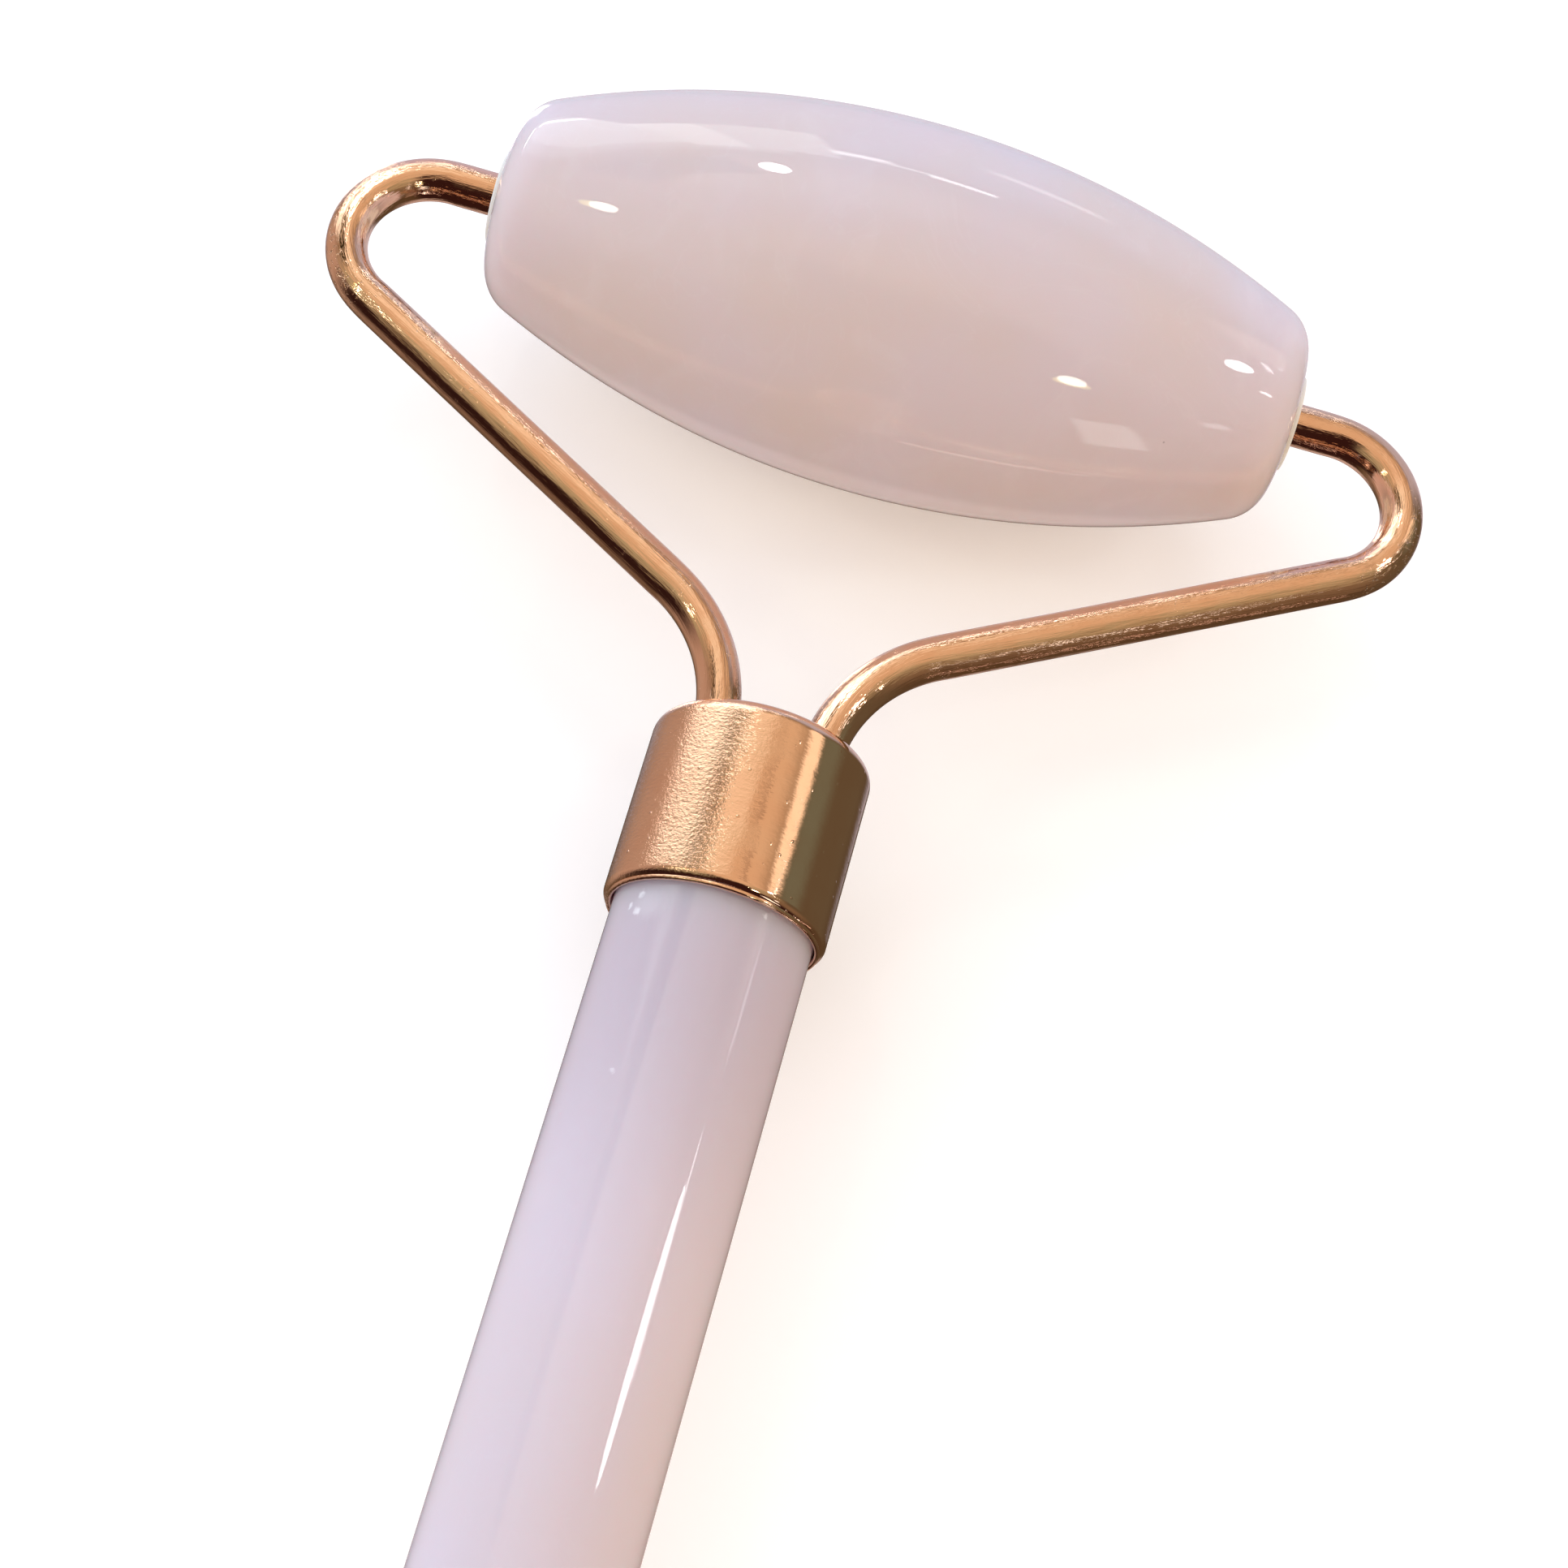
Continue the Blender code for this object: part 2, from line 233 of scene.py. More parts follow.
def add_stone(which):
    end = ENDS[which]
    low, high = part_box(which + "_roller_stone")
    half = (high.x - low.x) / 2
    radius = (high.z - low.z) / 2
    end["half_length"] = half
    stone = turned(which + "_roller_barrel", barrel_outline(end, half, radius), end["axis"], X_AXIS,
                   STONE_SEGMENTS, wobble=polish_wave)
    stone.data.materials.append(stone_material(which + "_roller_stone_look", end["axis"], roller=True))
    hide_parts(which + "_roller_stone")
    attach(stone, which + "_roller")


def bush_outline(depth):
    edge = BUSH_EDGE
    high = BUSH_FLANGE_THICKNESS
    flange = arc(BUSH_FLANGE_RADIUS - edge, high - edge, edge, 0.0, math.pi / 2, 4)
    mouth = arc(BUSH_BORE_RADIUS + edge, high - edge, edge, math.pi / 2, math.pi, 4)
    return [
        (BUSH_BORE_RADIUS, -depth), (BUSH_BARREL_RADIUS - edge, -depth), (BUSH_BARREL_RADIUS, edge - depth),
        (BUSH_BARREL_RADIUS, 0.0), (BUSH_FLANGE_RADIUS, 0.0),
    ] + flange + mouth


def add_bushes(which):
    end = ENDS[which]
    for side, outward in (("left", -X_AXIS), ("right", X_AXIS)):
        node = which + "_roller_bush_" + side
        low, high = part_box(node)
        depth = (high.x - low.x) - BUSH_FLANGE_THICKNESS
        seat = end["axis"] + outward * (max(abs(low.x), abs(high.x)) - BUSH_FLANGE_THICKNESS)
        bush = turned(node + "_moulding", bush_outline(depth), seat, outward, 72, closed=True)
        bush.data.materials.append(nylon_material(node + "_look"))
        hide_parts(node)
        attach(bush, which + "_roller")


def handle_wave(point):
    """The rod is ground by hand, which leaves it a little flat along one line."""
    turn = math.atan2(point.x, point.z - ENDS["large"]["axis"].z)
    return polish_wave(point) - FLAT_DEPTH * math.exp(-((turn - FLAT_TURN) / FLAT_SPAN) ** 2)


def add_handle():
    low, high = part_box("handle")
    large_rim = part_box("large_ferrule")[0].y
    small_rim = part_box("small_ferrule")[1].y
    height = ENDS["large"]["axis"].z
    tail = [(0.0, low.y), (SPIGOT_RADIUS - SPIGOT_CHAMFER, low.y), (SPIGOT_RADIUS, low.y + SPIGOT_CHAMFER),
            (SPIGOT_RADIUS, small_rim - SHOULDER_DEPTH)]
    nose = [(SPIGOT_RADIUS, large_rim + SHOULDER_DEPTH), (SPIGOT_RADIUS, high.y - SPIGOT_CHAMFER),
            (SPIGOT_RADIUS - SPIGOT_CHAMFER, high.y), (0.0, high.y)]
    shoulder = (HANDLE_RADIUS, large_rim + SHOULDER_DEPTH)
    body = line((HANDLE_RADIUS, small_rim - SHOULDER_DEPTH), shoulder, 90) + [shoulder]
    origin = Vector((0, 0, height))
    rod = turned("handle_rod", tail + body + nose, origin, Y_AXIS, STONE_SEGMENTS, wobble=handle_wave)
    rod.data.materials.append(
        stone_material("handle_stone_look", origin, roller=False, flecks=HANDLE_FLECKS))
    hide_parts("handle")
    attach(rod, "frame")


# ---------------------------------------------------------------- forks

WIRE_STEP = 0.2 * MM
WIRE_SIDES = 48
BEND_FLATTENING = 0.035        # share of its thickness that the wire loses in the tightest bend
DRAW_WAVE = 0.007 * MM         # unevenness that drawing leaves along the wire
DRAW_WAVE_LENGTH = 6 * MM
BEND_SEEN_FROM = 1.0           # 1/m: flatter turns than this count as straight


def fork_line(end):
    """Centre line of the wire, from pin tip to pin tip: (x, y) with the roller's axis at y = 0."""
    radius = end["shoulder_radius"]
    bend = end["leg_bend_radius"]
    arm = end["arm_angle"]
    turn = math.pi / 2 - arm
    bend_x = LEG_OFFSET + bend * (1 - math.cos(turn))
    arm_x = end["half_span"] - radius + radius * math.sin(arm)
    arm_y = -radius - radius * math.cos(arm)
    level = arm_y - (arm_x - bend_x) * math.tan(arm) - bend * math.sin(turn)
    end["ferrule_top"] = level - LEG_BEND_RISE
    pin_tip = (end["half_length"] - end["pin_depth"], 0.0)
    shoulder = arc(end["half_span"] - radius, -radius, radius, math.pi / 2, arm - math.pi / 2, 60)
    leg = arc(LEG_OFFSET + bend, level, bend, math.pi / 2 + arm, math.pi, 40)
    right = [pin_tip] + shoulder + leg
    u_bend = arc(0.0, level - LEG_ABOVE_U, LEG_OFFSET, 0.0, -math.pi, 50)
    return right + u_bend + [(-x, y) for x, y in reversed(right)]


def even_points(points, step):
    """The same line, with points an even distance apart."""
    lengths = [0.0]
    for a, b in zip(points, points[1:]):
        lengths.append(lengths[-1] + math.dist(a, b))
    count = round(lengths[-1] / step)
    result, k = [], 0
    for i in range(count + 1):
        wanted = lengths[-1] * i / count
        while k < len(lengths) - 2 and lengths[k + 1] < wanted:
            k += 1
        share = (wanted - lengths[k]) / (lengths[k + 1] - lengths[k])
        a, b = points[k], points[k + 1]
        result.append((a[0] + (b[0] - a[0]) * share, a[1] + (b[1] - a[1]) * share))
    return result


def turn_at(points, i):
    """Curvature of the line at point i, in 1/m, signed."""
    a, b, c = (Vector(points[max(0, min(len(points) - 1, i + k))]) for k in (-3, 0, 3))
    first, second = b - a, c - b
    if first.length < 1e-9 or second.length < 1e-9:
        return 0.0
    return math.asin(max(-1.0, min(1.0, first.normalized().cross(second.normalized())))) / second.length


def add_fork(which):
    """Sweeps the wire; stores place along the wire and wear on its bends for the material."""
    end = ENDS[which]
    node = which + "_fork"
    points = even_points(fork_line(end), WIRE_STEP)
    tightest = 1.0 / end["shoulder_radius"]
    rings, strand, wear = [], [], []
    last = len(points) - 1
    for i, (x, y) in enumerate(points):
        before, after = points[max(0, i - 1)], points[min(last, i + 1)]
        tangent = Vector((after[0] - before[0], after[1] - before[1])).normalized()
        across = Vector((-tangent.y, tangent.x))
        curve = turn_at(points, i)
        flat = BEND_FLATTENING * min(1.0, abs(curve) / tightest)
        distance = min(i, last - i) * WIRE_STEP
        tip = max(0.0, 1 - distance / PIN_TIP_CHAMFER) * PIN_TIP_CHAMFER
        ring = []
        for k in range(WIRE_SIDES):
            angle = 2 * math.pi * k / WIRE_SIDES
            c, s = math.cos(angle), math.sin(angle)
            place = Vector((i * WIRE_STEP / DRAW_WAVE_LENGTH, c * 0.6, s * 0.6))
            radius = WIRE_RADIUS - tip + DRAW_WAVE * noise.noise(place)
            flat_x, flat_y = x + across.x * c * radius * (1 - flat), y + across.y * c * radius * (1 - flat)
            height = s * radius * (1 + flat * 0.5)
            ring.append(end["axis"] + Vector((flat_x * end["towards"], flat_y * end["towards"], height)))
            strand.append((i * WIRE_STEP, c * WIRE_RADIUS, s * WIRE_RADIUS))
            bent = abs(curve) > BEND_SEEN_FROM
            outer = max(0.0, -c * math.copysign(1.0, curve)) if bent else 0.0
            wear.append(outer * min(1.0, abs(curve) / tightest))
        rings.append(ring)
    fork = piece_from_rings(node + "_wire", rings)
    add_vectors(fork, "strand", strand)
    add_values(fork, "bend_wear", wear)
    fork.data.materials.append(wire_material(node + "_look"))
    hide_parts(node)
    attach(fork, "frame")


# ---------------------------------------------------------------- ferrules

def ferrule_outline(height):
    """The cup from its ceiling's middle down the inside, round the rolled rim, up to the top's middle."""
    ceiling = height - FERRULE_TOP_THICKNESS
    inner = [(0.0, ceiling), (FERRULE_INNER_RADIUS - CEILING_CHAMFER, ceiling),
             (FERRULE_INNER_RADIUS, ceiling - CEILING_CHAMFER)]
    bead = arc(FERRULE_INNER_RADIUS + RIM_BEAD, RIM_BEAD, RIM_BEAD, math.pi, 2 * math.pi, 10)
    roll_r = FERRULE_RADIUS - RIM_ROLL
    roll_z = RIM_BEAD * 1.2 + RIM_ROLL
    roll = arc(roll_r, roll_z, RIM_ROLL, math.radians(-62), 0.0, 12)
    top = arc(FERRULE_RADIUS - FERRULE_TOP_ROUND, height - FERRULE_TOP_ROUND, FERRULE_TOP_ROUND, 0.0,
              math.pi / 2, 18)
    wall = line(roll[-1], top[0], 24)
    flat = line(top[-1], (0.0, height), 8)
    return inner + bead + roll[:-1] + wall + top[:-1] + flat + [(0.0, height)]


FILLET_STEPS = 10
FILLET_SIDES = 56
FILLET_UNEVEN = 0.25           # share of its width by which a fillet varies round the leg


def leg_fillet(end, which, side):
    """The plated run-out where a leg leaves the ferrule: rings from the top face up to the wire."""
    bend = end["leg_bend_radius"]
    rings = []
    for i in range(FILLET_STEPS + 1):
        height = LEG_FILLET * (1 - math.cos(math.pi / 2 * i / FILLET_STEPS)) if i else 0.0
        swing = math.asin(max(0.0, height - LEG_BEND_RISE) / bend)
        centre_x = LEG_OFFSET + bend * (1 - math.cos(swing))
        spread = LEG_FILLET - math.sqrt(max(0.0, LEG_FILLET ** 2 - (LEG_FILLET - height) ** 2))
        radius = WIRE_RADIUS + spread
        ring = []
        for k in range(FILLET_SIDES):
            angle = 2 * math.pi * k / FILLET_SIDES
            uneven = 1 + FILLET_UNEVEN * noise.noise(Vector((math.cos(angle), math.sin(angle), 3.0 * side)))
            reach = WIRE_RADIUS + (radius - WIRE_RADIUS) * uneven
            x = side * centre_x + reach * math.cos(angle) / math.cos(swing)
            y = end["ferrule_top"] + height
            z = reach * math.sin(angle)
            ring.append(end["axis"] + Vector((x * end["towards"], y * end["towards"], z)))
        rings.append(ring)
    return piece_from_rings(f"{which}_leg_fillet_{'left' if side < 0 else 'right'}", rings)


FERRULE_SEGMENTS = 144


def add_ferrule(which):
    end = ENDS[which]
    node = which + "_ferrule"
    low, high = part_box(node)
    rim_y = low.y if end["towards"] > 0 else high.y
    origin = Vector((0, rim_y, end["axis"].z))
    cap = turned(node + "_cap", ferrule_outline(high.y - low.y), origin, Y_AXIS * end["towards"],
                 FERRULE_SEGMENTS)
    cap.data.materials.append(ferrule_material(node + "_look"))
    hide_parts(node)
    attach(cap, "frame")
    for side in (-1, 1):
        fillet = leg_fillet(end, which, side)
        fillet.data.materials.append(cap.data.materials[0])
        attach(fillet, "frame")


# ---------------------------------------------------------------- materials
# Textures are laid out in millimetres, so the sizes given to noise and cells are in millimetres.

class Nodes:
    """A node tree, written as plain calls."""

    def __init__(self, tree):
        self.tree = tree

    def add(self, kind, settings=None, **inputs):
        node = self.tree.nodes.new(kind)
        for key, value in (settings or {}).items():
            setattr(node, key, value)
        for key, value in inputs.items():
            self.plug(node, key.replace("_", " "), value)
        return node

    def plug(self, node, key, value):
        socket = node.inputs[key]
        if isinstance(value, bpy.types.NodeSocket):
            self.tree.links.new(value, socket)
        elif socket.type == "RGBA" and len(value) == 3:
            socket.default_value = (*value, 1.0)
        else:
            socket.default_value = value

    def vector_maths(self, operation, first, second):
        node = self.add("ShaderNodeVectorMath", {"operation": operation})
        self.plug(node, 0, first)
        self.plug(node, 1, second)
        return node.outputs[0]

    def scaled(self, vector, scale):
        return self.vector_maths("MULTIPLY", vector, scale)

    def noise(self, vector, size, detail=3.0, roughness=0.5, distortion=0.0):
        node = self.add("ShaderNodeTexNoise", Vector=vector, Scale=1.0 / size, Detail=detail,
                        Roughness=roughness, Distortion=distortion)
        return node.outputs["Fac"]

    def noise_vector(self, vector, size):
        return self.add("ShaderNodeTexNoise", Vector=vector, Scale=1.0 / size).outputs["Color"]

    def cells(self, vector, size):
        """Distance from the nearest of scattered points, in cell sizes."""
        return self.add("ShaderNodeTexVoronoi", Vector=vector, Scale=1.0 / size).outputs["Distance"]

    def span(self, value, low, high, to_low=0.0, to_high=1.0):
        """Smooth step of value from low to high, given out as to_low to to_high."""
        node = self.add("ShaderNodeMapRange", {"interpolation_type": "SMOOTHSTEP"})
        for key, number in (("Value", value), ("From Min", low), ("From Max", high),
                            ("To Min", to_low), ("To Max", to_high)):
            self.plug(node, key, number)
        return node.outputs["Result"]

    def mix(self, factor, first, second):
        node = self.add("ShaderNodeMix", {"data_type": "RGBA"})
        self.plug(node, "Factor", factor)
        self.plug(node, 6, first)
        self.plug(node, 7, second)
        return node.outputs[2]

    def maths(self, operation, first, second=0.0):
        node = self.add("ShaderNodeMath", {"operation": operation})
        self.plug(node, 0, first)
        self.plug(node, 1, second)
        return node.outputs[0]


class Look(Nodes):
    """A material around one Principled shader."""

    def __init__(self, name):
        self.material = bpy.data.materials.new(name)
        self.material.use_nodes = True
        super().__init__(self.material.node_tree)
        self.shader = self.tree.nodes["Principled BSDF"]

    def set(self, key, value):
        self.plug(self.shader, key, value)

    def place(self, offset=(0, 0, 0)):
        """Object coordinates in millimetres from offset, which is in metres."""
        coords = self.add("ShaderNodeTexCoord").outputs["Object"]
        return self.scaled(self.vector_maths("SUBTRACT", coords, offset), (1 / MM, 1 / MM, 1 / MM))

    def attribute(self, name, output):
        return self.add("ShaderNodeAttribute", {"attribute_name": name}).outputs[output]

    def shares(self, vector, *axes):
        """The named parts of a vector, as a list."""
        parts = self.add("ShaderNodeSeparateXYZ", Vector=vector)
        return [parts.outputs[axis] for axis in axes]

    def bump(self, height, depth, under=None):
        """Height from 0 to 1 stands for depth in metres."""
        node = self.add("ShaderNodeBump", Distance=depth, Height=height)
        if under is not None:
            self.plug(node, "Normal", under)
        return node.outputs["Normal"]


STONE_LILAC = (0.640, 0.565, 0.595)        # the two tones that cloud into each other
STONE_PINK = (0.645, 0.552, 0.530)
STONE_MILK = (0.730, 0.680, 0.685)         # wisps and veins
STONE_FERRULE_SHADE = (0.490, 0.425, 0.470)        # painted shade: the handle darkens towards its ferrules
STONE_COOL_LIGHT_TINT = (0.640, 0.585, 0.640)         # painted cool light: a lilac tint over the whole handle, left showing on its left side
STONE_FLECK = (0.960, 0.940, 0.950)
STONE_SPECK = (0.160, 0.120, 0.120)
STONE_GLOW = (1.0, 0.72, 0.80)             # how far red, green and blue light travel inside, to scale
STONE_GLOW_DEPTH = 6.0 * MM
STONE_IOR = 1.54
HANDLE_MIDDLE = -5.6                       # mm along the handle, about half way between its ferrules
HANDLE_FLECKS = (              # x, y and z in mm from the handle's axis, radius, strength
    (-3.5, 26.1, 3.4, 0.28, 0.52), (-3.5, 25.2, 3.4, 0.30, 0.52), (-3.9, 25.5, 3.0, 0.22, 0.50),
    (-3.0, 25.6, 3.8, 1.10, 0.14), (-2.4, 17.2, 4.2, 0.20, 0.28), (2.3, 26.4, 4.3, 0.20, 0.50),
)


def stone_material(name, centre, roller, flecks=()):
    """Milky polished stone with clouds, wisps, veins and dark specks; the handle adds white flecks, painted
    side light and painted shade near its ferrules.
    """
    look = Look(name)
    place = look.place(offset=centre)
    cloud = look.noise(place, 11.0, detail=2.5, roughness=0.45)
    wisp = look.noise(look.scaled(place, (1.0, 0.55, 1.0)), 5.0, detail=4.0, roughness=0.55, distortion=1.2)
    colour = look.mix(look.span(cloud, 0.30, 0.70), STONE_PINK, STONE_LILAC)
    colour = look.mix(look.span(wisp, 0.50, 0.80, 0.0, 0.25), colour, STONE_MILK)
    vein = look.noise(place, 8.0, detail=3.0, roughness=0.5, distortion=2.2)
    vein_line = look.span(look.maths("ABSOLUTE", look.maths("SUBTRACT", vein, 0.5)), 0.0, 0.012, 1.0, 0.0)
    colour = look.mix(look.maths("MULTIPLY", vein_line, 0.08), colour, STONE_MILK)
    if not roller:
        across, along = look.shares(place, "X", "Y")
        colour = look.mix(0.5, colour, STONE_COOL_LIGHT_TINT)
        # painted light: the handle turns pinker towards its right side for warm light from the right, with
        # the stone's clouds breaking up the border
        rightward = look.maths("ADD", across, look.maths("MULTIPLY", cloud, 3.0))
        colour = look.mix(look.span(rightward, 2.3, 5.0, 0.0, 0.50), colour, STONE_PINK)
        # painted shade: the handle grows darker from 12 mm to 31 mm either side of its middle, towards the
        # ferrules
        from_middle = look.maths("ABSOLUTE", look.maths("SUBTRACT", along, HANDLE_MIDDLE))
        colour = look.mix(look.span(from_middle, 12.0, 31.0, 0.0, 0.75), colour, STONE_FERRULE_SHADE)
    ragged = look.vector_maths("ADD", place, look.scaled(look.noise_vector(place, 0.35), (0.4, 0.4, 0.4)))
    solid = 0.0
    for x, y, z, radius, strength in flecks:
        off = look.add("ShaderNodeVectorMath", {"operation": "DISTANCE"})
        look.plug(off, 0, ragged)
        look.plug(off, 1, (x + 0.2, y + 0.2, z + 0.2))
        fleck = look.span(off.outputs["Value"], 0.3 * radius, radius, strength, 0.0)
        colour = look.mix(fleck, colour, STONE_FLECK)
        solid = look.maths("MAXIMUM", solid, fleck)
    dots = look.cells(place, 5.2)
    speck = look.span(dots, 0.010, 0.020, 1.0, 0.0)
    colour = look.mix(look.maths("MULTIPLY", speck, 0.65), colour, STONE_SPECK)
    look.set("Base Color", colour)
    look.set("Subsurface Weight", look.maths("SUBTRACT", 1.0, look.maths("MAXIMUM", solid, speck)))
    look.set("Subsurface Radius", STONE_GLOW)
    look.set("Subsurface Scale", STONE_GLOW_DEPTH)
    look.set("IOR", STONE_IOR)
    grease = look.noise(place, 6.0, detail=4.0, roughness=0.6)
    look.set("Roughness", look.span(grease, 0.3, 0.75, 0.006, 0.026))
    ripple = look.noise(place, 1.6, detail=2.0)
    look.set("Normal", look.bump(ripple, 0.0006 * MM))
    return look.material


def nylon_material(name):
    """Ivory moulded plastic with a fine matt grain."""
    look = Look(name)
    place = look.place()
    tone = look.noise(place, 1.2, detail=3.0)
    look.set("Base Color", look.mix(look.span(tone, 0.3, 0.7), (0.80, 0.77, 0.70), (0.88, 0.86, 0.80)))
    look.set("Subsurface Weight", 0.4)
    look.set("Subsurface Radius", (1.0, 0.9, 0.8))
    look.set("Subsurface Scale", 0.8 * MM)
    look.set("Roughness", look.span(tone, 0.2, 0.8, 0.34, 0.48))
    look.set("Normal", look.bump(look.noise(place, 0.15, detail=2.0), 0.004 * MM))
    return look.material


ROSE_GOLD = (0.920, 0.600, 0.420)
ROSE_GOLD_PALE = (0.940, 0.650, 0.470)
ROSE_GOLD_WORN = (0.640, 0.470, 0.330)


def wire_material(name):
    """Rose gold over drawn wire: lines along it, and nicks that gather on the outside of the bends."""
    look = Look(name)
    strand = look.scaled(look.attribute("strand", "Vector"), (1 / MM, 1 / MM, 1 / MM))
    wear = look.attribute("bend_wear", "Fac")
    lines = look.noise(look.scaled(strand, (0.09, 1.0, 1.0)), 0.34, detail=4.0, roughness=0.6)
    patches = look.noise(strand, 1.5, detail=4.0, roughness=0.65)
    nicks = look.span(look.noise(strand, 0.30, detail=3.0, roughness=0.7, distortion=0.8), 0.56, 0.68)
    nick_zone = look.span(look.maths("ADD", look.maths("MULTIPLY", wear, 0.35), patches), 0.58, 0.82)
    nick_mask = look.maths("MULTIPLY", nicks, nick_zone)
    colour = look.mix(look.span(patches, 0.30, 0.70), ROSE_GOLD, ROSE_GOLD_PALE)
    look.set("Base Color", look.mix(look.maths("MULTIPLY", nick_mask, 0.5), colour, ROSE_GOLD_WORN))
    look.set("Metallic", 1.0)
    shine = look.span(lines, 0.3, 0.7, 0.03, 0.10)
    look.set("Roughness", look.maths("ADD", shine, look.maths("MULTIPLY", nick_mask, 0.22)))
    drawn = look.bump(lines, 0.050 * MM)
    look.set("Normal", look.bump(look.maths("SUBTRACT", 1.0, nick_mask), 0.030 * MM, under=drawn))
    return look.material


def ferrule_material(name):
    """Rose gold over a drawn cap: orange peel, hair lines round it, a gritty zone and a few blisters."""
    look = Look(name)
    place = look.place()
    patches = look.noise(place, 3.0, detail=3.0, roughness=0.6)
    peel = look.noise(place, 0.55, detail=2.0, roughness=0.5)
    grit = look.noise(place, 0.15, detail=3.0, roughness=0.65)
    (across,) = look.shares(place, "X")
    rightward = look.maths("ADD", across, look.maths("MULTIPLY", patches, 5.0))
    rough_zone = look.span(rightward, 0.8, 4.2, 1.0, 0.0)
    colour = look.mix(look.span(patches, 0.3, 0.7), ROSE_GOLD_PALE, ROSE_GOLD)
    look.set("Base Color", colour)
    look.set("Metallic", 1.0)
    look.set("Roughness", look.span(peel, 0.3, 0.7, 0.05, 0.085))
    hairs = look.noise(look.scaled(place, (0.30, 1.0, 0.30)), 0.13, detail=2.0, roughness=0.5)
    hair_zone = look.span(rough_zone, 0.0, 1.0, 0.35, 1.0)
    base = look.bump(peel, 0.007 * MM)
    base = look.bump(look.maths("MULTIPLY", hairs, hair_zone), 0.009 * MM, under=base)
    blister = look.span(look.cells(place, 0.75), 0.05, 0.13, 1.0, 0.0)
    base = look.bump(look.maths("MULTIPLY", blister, hair_zone), 0.022 * MM, under=base)
    look.set("Normal", look.bump(look.maths("MULTIPLY", grit, rough_zone), 0.024 * MM, under=base))
    return look.material


def epoxy_material(name):
    """Amber epoxy with bubbles, inside the ferrule."""
    look = Look(name)
    place = look.place()
    bubbles = look.cells(place, 0.9)
    tone = look.noise(place, 2.0, detail=2.0)
    look.set("Base Color", look.mix(tone, (0.55, 0.43, 0.22), (0.66, 0.55, 0.33)))
    look.set("Roughness", 0.25)
    look.set("Normal", look.bump(look.span(bubbles, 0.0, 0.35), 0.05 * MM))
    return look.material


# ---------------------------------------------------------------- floor, lights and camera

FLOOR_HALF_SIZE = 3.0
FLOOR_DROP = 0.05 * MM         # below the large roller, so the two never share a plane


def add_floor():
    bm = bmesh.new()
    bmesh.ops.create_grid(bm, x_segments=2, y_segments=2, size=FLOOR_HALF_SIZE)
    mesh = bpy.data.meshes.new("studio_floor")
    bm.to_mesh(mesh)
    bm.free()
    floor = bpy.data.objects.new("studio_floor", mesh)
    floor.location.z = cad_box[0][2] - FLOOR_DROP
    bpy.context.scene.collection.objects.link(floor)
    look = Look("studio_floor_look")
    place = look.place()
    tone = look.noise(place, 400.0, detail=2.0)
    look.set("Base Color", look.mix(tone, (0.925, 0.912, 0.880), (0.940, 0.927, 0.895)))
    look.set("Emission Color", (1.0, 0.95, 0.90))
    look.set("Emission Strength", 0.20)
    look.set("Roughness", 0.9)
    look.set("Specular IOR Level", 0.1)
    mesh.materials.append(look.material)
    floor.visible_glossy = False


# Directions: azimuth is from +Y towards +X, elevation is from level, both in degrees.
LAMP_HEIGHT = 0.27             # above the large roller
LAMPS = (                      # direction of either end, width in degrees, radiance, colour
    ((-32.1, 53.3), (-27.9, 47.1), 3.9, 14.0, (0.98, 1.0, 1.0)),
    ((-111.0, 43.1), (-104.0, 45.3), 4.3, 13.0, (1.0, 1.0, 0.85)),
    ((-109.0, 42.0), (-103.8, 43.6), 4.0, 5.0, (1.0, 0.90, 0.30)),
    ((148.2, 35.3), (145.8, 40.0), 4.2, 13.0, (1.0, 1.0, 0.85)),
    ((148.6, 34.6), (146.8, 38.0), 5.6, 5.0, (1.0, 0.90, 0.30)),
    ((75.8, 42.9), (86.2, 45.1), 4.2, 14.0, (0.95, 0.98, 1.0)),
)


def towards(azimuth, elevation):
    """Unit vector: azimuth from +Y towards +X and elevation from level, in degrees."""
    a, e = math.radians(azimuth), math.radians(elevation)
    return Vector((math.sin(a) * math.cos(e), math.cos(a) * math.cos(e), math.sin(e)))


def add_lamp(name, first, second, width, radiance, colour):
    """A short ceiling lamp over the large roller; its power follows from the radiance it shows."""
    ends = [towards(*first), towards(*second)]
    out = (ends[0] + ends[1]).normalized()
    distance = LAMP_HEIGHT / out.z
    along = (ends[1] - ends[0]).normalized()
    data = bpy.data.lights.new(name, "AREA")
    data.shape = "ELLIPSE"
    data.size = distance * (ends[1] - ends[0]).length
    data.size_y = distance * math.radians(width)
    data.energy = radiance * math.pi * (data.size * data.size_y * math.pi / 4)
    data.color = colour
    lamp = bpy.data.objects.new(name, data)
    lamp.matrix_world = Matrix((along, out.cross(along), out)).transposed().to_4x4()
    lamp.location = ENDS["large"]["axis"] + out * distance
    lamp.visible_camera = False
    bpy.context.scene.collection.objects.link(lamp)


def add_lights():
    for i, lamp in enumerate(LAMPS):
        add_lamp(f"ceiling_lamp_{i + 1}", *lamp)


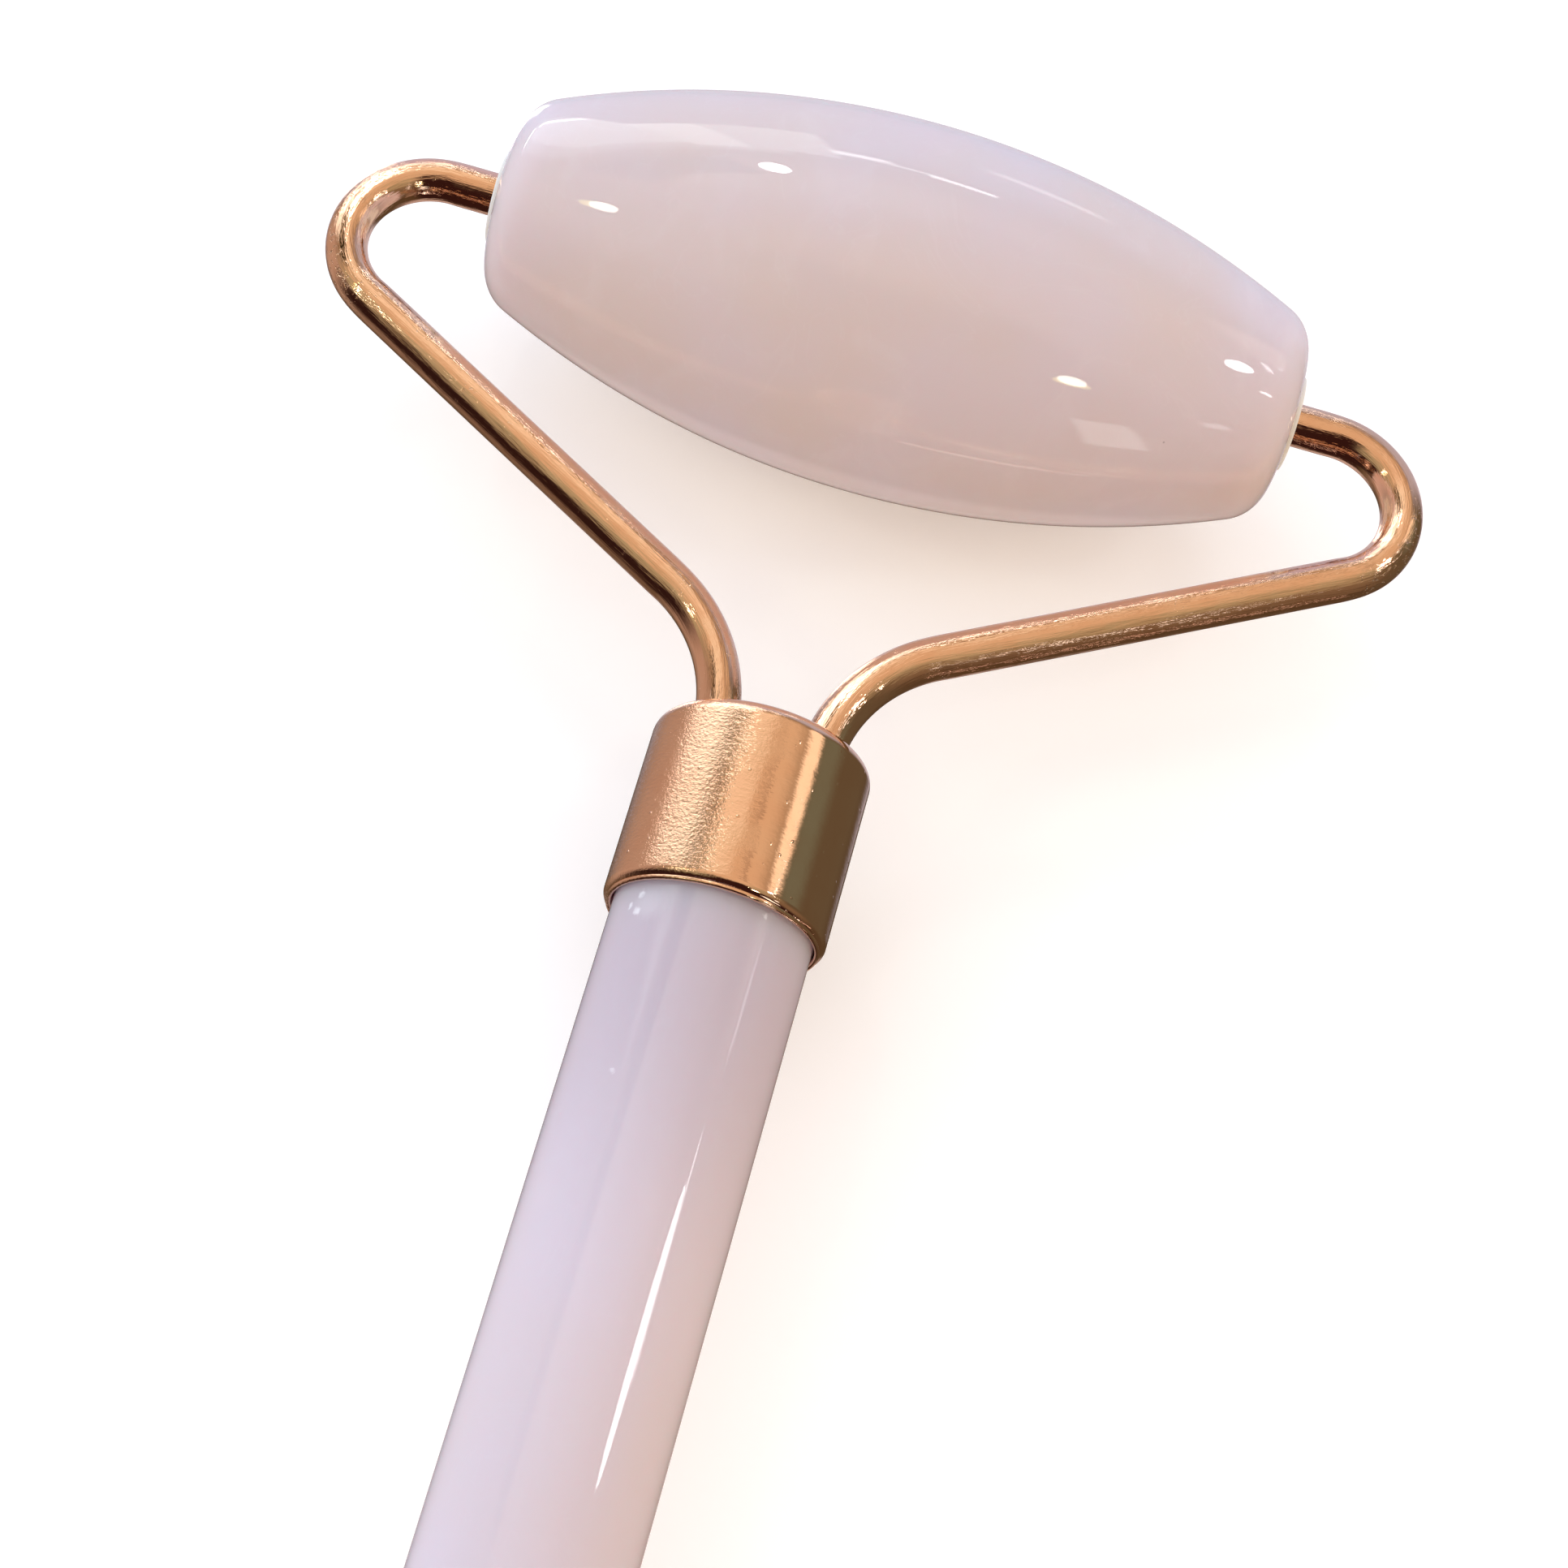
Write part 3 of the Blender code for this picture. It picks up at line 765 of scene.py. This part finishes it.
# What a polished surface sees of the studio: four bands of elevation, and panels laid over them in turn.
# Each panel: azimuth and elevation of its middle, half sizes, softness of its edges, and radiance.
ROOM_UNDER = (0.58, 0.45, 0.41)
ROOM_BELOW = (0.10, 0.065, 0.035)
ROOM_LEVEL = (0.22, 0.15, 0.09)
ROOM_ABOVE = (0.78, 0.56, 0.37)
PANELS = (
    ("left_wall", -85, -10, 35, 40, 20, (0.52, 0.37, 0.30)),
    ("front_wall", 0, -12, 46, 42, 10, (0.53, 0.53, 0.66)),
    ("front_low", 0, -45, 40, 13, 5, (0.62, 0.56, 0.62)),
    ("right_wall", 75, -5, 28, 40, 14, (0.13, 0.10, 0.06)),
    ("right_side", 110, 48, 30, 12, 16, (0.42, 0.36, 0.22)),
    ("behind", 180, 0, 42, 68, 10, (0.035, 0.012, 0.010)),
    ("left_side", -128, 0, 24, 30, 16, (0.03, 0.012, 0.010)),
    ("left_upper", -120, 44, 34, 14, 14, (0.45, 0.40, 0.26)),
    ("ceiling_left", -28, 58, 34, 9, 8, (1.05, 0.88, 0.68)),
    ("upper_frame", -54, 49, 20, 5.2, 1.2, (0.03, 0.025, 0.010)),
    ("ceiling_beam", 35, 61.5, 30, 1.3, 0.8, (0.52, 0.36, 0.24)),
    ("window", -42, 22, 23, 17, 1.5, (1.35, 1.30, 1.20)),
    ("window_pane", -42, 22, 11, 13, 0.7, (2.4, 2.45, 2.35)),
    ("window_pane_middle", -28, 27.5, 4, 9.2, 0.5, (2.9, 2.95, 2.85)),
    ("window_pane_right", -18, 27.5, 6, 9.0, 0.5, (1.8, 1.80, 1.80)),
    ("window_edge", -52, 4.5, 8, 1.5, 0.5, (7.0, 7.0, 7.0)),
    ("window_edge_right", -36, 9.5, 5, 1.3, 0.5, (7.0, 7.0, 7.0)),
    ("window_sill", -30, -34, 5, 13, 2.0, (3.6, 3.3, 3.1)),
    ("door", -15, -2, 16, 20.5, 0.8, (0.62, 0.54, 0.70)),
    ("streak_left", -9, 31.6, 3.5, 1.3, 0.9, (5.5, 5.5, 5.5)),
    ("streak_middle", -3, 32.6, 4, 0.6, 0.5, (3.0, 3.0, 3.0)),
    ("streak_right", 3, 33.4, 4, 1.0, 0.5, (6.5, 6.5, 6.5)),
    ("streak_low", 9, 12.5, 5, 1.6, 1.6, (2.2, 2.2, 2.3)),
    ("streak_side", 52.5, 36, 2.5, 1.0, 0.6, (8.0, 8.0, 8.0)),
    ("streak_corner", 68.5, 39.6, 3.0, 0.6, 0.4, (7.0, 7.0, 7.0)),
    ("green_corner", 64, 18, 12, 12, 9, (0.17, 0.178, 0.125)),
    ("strip_front", 55, 35.0, 8, 6.5, 3.0, (1.27, 1.02, 0.77)),
    ("table_edge", 150, -26, 26, 0.8, 0.4, (1.9, 1.3, 1.1)),
    ("table_edge_bright", 150, -26, 5, 0.6, 0.3, (12.0, 11.0, 10.5)),
    ("strip_low", 64, 34.5, 1.2, 1.5, 0.5, (2.6, 2.5, 2.5)),
    ("patch_behind", 150, 7, 4, 8, 0.8, (1.9, 1.9, 1.85)),
    ("patch_small", 130.5, 21.5, 2, 1.6, 0.8, (2.6, 2.6, 2.6)),
    ("glint_high", 95, 38.5, 1.1, 1.5, 0.4, (14.0, 14.0, 14.0)),
)
ROOM_UNSTEADY = 1.0            # degrees by which the edges of the panels wander
# What a matt surface sees: a sky that fades from a warm side to a cool one.
SKY_COOL = (1.16, 1.38, 1.72)
SKY_WARM = (0.92, 0.605, 0.31)
SKY_FROM = Vector((-0.70, 0.70, 0.14))


def add_world():
    world = bpy.data.worlds.new("studio")
    world.use_nodes = True
    bpy.context.scene.world = world
    world.cycles.sampling_method = "NONE"
    nodes = Nodes(world.node_tree)
    direction = nodes.add("ShaderNodeTexCoord").outputs["Generated"]
    split = nodes.add("ShaderNodeSeparateXYZ", Vector=direction)
    wander = nodes.maths("SUBTRACT", nodes.noise(direction, 0.25), 0.5)
    unsteady = nodes.maths("MULTIPLY", wander, ROOM_UNSTEADY)
    degrees = 180 / math.pi
    elevation = nodes.maths("MULTIPLY", nodes.maths("ARCSINE", split.outputs["Z"]), degrees)
    elevation = nodes.maths("ADD", elevation, unsteady)
    room = nodes.mix(nodes.span(elevation, -78, -66), ROOM_UNDER, ROOM_BELOW)
    room = nodes.mix(nodes.span(elevation, -30, 10), room, ROOM_LEVEL)
    room = nodes.mix(nodes.span(elevation, 28, 58), room, ROOM_ABOVE)
    for name, azimuth, height, half_width, half_height, soft, radiance in PANELS:
        turned_to = nodes.add("ShaderNodeVectorRotate", {"rotation_type": "Z_AXIS", "label": name},
                              Vector=direction, Angle=math.radians(azimuth))
        parts = nodes.add("ShaderNodeSeparateXYZ", Vector=turned_to.outputs[0])
        swing = nodes.maths("ARCTAN2", parts.outputs["X"], parts.outputs["Y"])
        swing = nodes.maths("ADD", nodes.maths("MULTIPLY", swing, degrees), unsteady)
        aside = nodes.maths("ABSOLUTE", swing)
        above = nodes.maths("ABSOLUTE", nodes.maths("SUBTRACT", elevation, height))
        inside = nodes.maths("MULTIPLY",
                             nodes.span(aside, half_width - soft, half_width + soft, 1.0, 0.0),
                             nodes.span(above, half_height - soft, half_height + soft, 1.0, 0.0))
        room = nodes.mix(inside, room, radiance)
    facing = nodes.add("ShaderNodeVectorMath", {"operation": "DOT_PRODUCT"})
    nodes.plug(facing, 0, direction)
    nodes.plug(facing, 1, SKY_FROM)
    sky = nodes.mix(nodes.span(facing.outputs["Value"], -1.0, 1.0), SKY_WARM, SKY_COOL)
    ray = nodes.add("ShaderNodeLightPath")
    seen = nodes.mix(ray.outputs["Is Glossy Ray"], sky, room)
    seen = nodes.mix(ray.outputs["Is Camera Ray"], seen, (1.0, 1.0, 1.0))
    nodes.plug(world.node_tree.nodes["Background"], "Color", seen)


CAMERA_PLACE = Vector((2.10, -28.17, 143.53)) * MM
CAMERA_TURN = (24.454, -6.543, 14.750)     # degrees
CAMERA_LENS = 70.91                        # mm
CAMERA_SENSOR = 36.0                       # mm wide


def add_camera():
    data = bpy.data.cameras.new("camera")
    data.sensor_width = CAMERA_SENSOR
    data.lens = CAMERA_LENS
    data.clip_start = 0.005
    camera = bpy.data.objects.new("camera", data)
    camera.location = CAMERA_PLACE
    camera.rotation_euler = Euler([math.radians(a) for a in CAMERA_TURN], "XYZ")
    bpy.context.scene.collection.objects.link(camera)
    bpy.context.scene.camera = camera


def build():
    bpy.context.scene.view_settings.view_transform = "Standard"
    add_camera()
    for which in ENDS:
        add_stone(which)
        add_bushes(which)
        add_fork(which)
        add_ferrule(which)
        node = frame["nodes"][which + "_ferrule_adhesive"]
        node.data.materials.clear()
        node.data.materials.append(epoxy_material(which + "_epoxy_look"))
    add_handle()
    add_floor()
    add_lights()
    add_world()


build()
